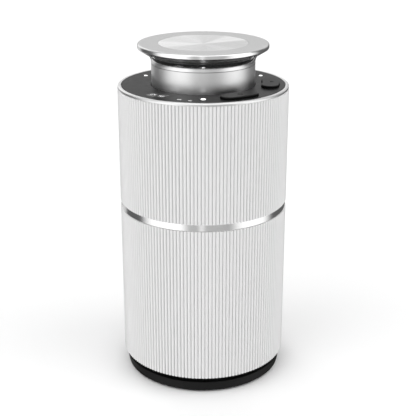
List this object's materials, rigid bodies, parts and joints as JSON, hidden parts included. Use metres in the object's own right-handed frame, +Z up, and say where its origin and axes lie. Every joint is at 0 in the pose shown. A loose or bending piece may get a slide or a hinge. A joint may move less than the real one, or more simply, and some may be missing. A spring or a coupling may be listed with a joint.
{
  "type": "air purifier",
  "caption": "Cylindrical desktop air purifier: fluted casing, bright belt, dark control panel, and a flared metal dial on a round neck.",
  "frame": {"origin": "centre of the footprint, on the surface that the feet stand on", "axes": "+Z up along the casing's axis; the front, with the status light, faces -Y; +X is to the right seen from the front"},
  "size_m": [0.13, 0.1302, 0.2625],
  "materials": {
    "casing": "satin white-silver lacquer on moulded fluted shells",
    "bright_trim": "polished trim rings",
    "neck_aluminium": "turned aluminium with fine lathe lines",
    "dial_aluminium": "satin turned aluminium",
    "dish_aluminium": "spun aluminium with radial glints",
    "panel_plastic": "fine matt dark grey",
    "button_plastic": "fine matt dark grey",
    "base_plastic": "black, lightly textured",
    "foot_rubber": "matt black rubber",
    "lamp_diffuser": "white light diffuser",
    "display_glass": "dark tinted window",
    "inner_plastic": "dark moulded plastic",
    "pale_plastic": "pale moulded plastic",
    "steel": "plain steel",
    "brass_bush": "sintered bronze bush",
    "motor_steel": "zinc-plated steel",
    "magnet": "dark ferrite",
    "winding": "copper windings",
    "board_green": "green circuit board",
    "component_black": "black component bodies",
    "silicone": "translucent grey silicone",
    "filter_paper": "white pleated media",
    "carbon": "black activated-carbon cloth",
    "mesh_fabric": "dark nylon mesh",
    "foam": "closed-cell foam",
    "tape": "woven tape",
    "lead_sheath": "black sheathed lead"
  },
  "bodies": {
    "casing": {"base_ring": "base_plastic", "lower_shell": "casing", "belt_ring": "bright_trim", "upper_shell": "casing", "rim_ring": "bright_trim", "control_panel": "panel_plastic", "power_dome": "silicone", "mode_dome": "silicone", "light_front": "lamp_diffuser", "light_left": "lamp_diffuser", "light_right": "lamp_diffuser", "status_leds": "pale_plastic", "indicator_lenses": "lamp_diffuser", "display_window": "display_glass", "display_module": "component_black", "panel_board": "board_green", "panel_screws": "steel", "neck_sleeve": "neck_aluminium", "neck_core": "inner_plastic", "dial_bushes": "brass_bush", "dial_encoder": "component_black", "outlet_duct": "inner_plastic", "fan_housing": "inner_plastic", "motor_can": "motor_steel", "motor_lid": "motor_steel", "motor_stator": "winding", "motor_bearings": "steel", "motor_mount": "inner_plastic", "motor_screws": "steel", "carbon_sleeve": "carbon", "filter_mesh": "mesh_fabric", "filter_top_cap": "pale_plastic", "filter_gasket": "foam", "filter_bottom_cap": "pale_plastic", "pull_tab": "tape", "filter_media": "filter_paper", "main_board": "board_green", "board_components": "component_black", "air_sensor": "component_black", "inlet_bezel": "base_plastic", "power_socket": "steel", "inlet_board": "board_green", "supply_lead": "lead_sheath"},
    "base_cover": {"base_cover": "base_plastic", "feet": "foot_rubber"},
    "power_button": {"power_button": "button_plastic"},
    "mode_button": {"mode_button": "button_plastic"},
    "dial": {"head_cap": "dial_aluminium", "top_dish": "dish_aluminium", "dial_hub": "inner_plastic", "dial_shaft": "steel", "dial_screw": "steel"},
    "fan_rotor": {"impeller": "pale_plastic", "motor_shaft": "steel", "motor_rotor": "magnet"}
  },
  "joints": [
    {"name": "dial_turn", "type": "hinge", "parent": "casing", "child": "dial", "pos_m": [0, 0, 0.255], "axis": [0, 0, 1], "range_deg": [-120, 120]},
    {"name": "power_press", "type": "slide", "parent": "casing", "child": "power_button", "axis": [0, 0, -1], "range_m": [0, 0.0009], "stiffness_N_per_m": 1500, "springref_m": -0.0002, "deforming": ["power_dome"]},
    {"name": "mode_press", "type": "slide", "parent": "casing", "child": "mode_button", "axis": [0, 0, -1], "range_m": [0, 0.0009], "stiffness_N_per_m": 1500, "springref_m": -0.0002, "deforming": ["mode_dome"]},
    {"name": "fan_spin", "type": "hinge", "parent": "casing", "child": "fan_rotor", "pos_m": [0, 0, 0.18], "axis": [0, 0, 1], "continuous": true},
    {"name": "cover_twist", "type": "hinge", "parent": "casing", "child": "base_cover", "pos_m": [0, 0, 0.005], "axis": [0, 0, 1], "range_deg": [0, 20]}
  ]
}
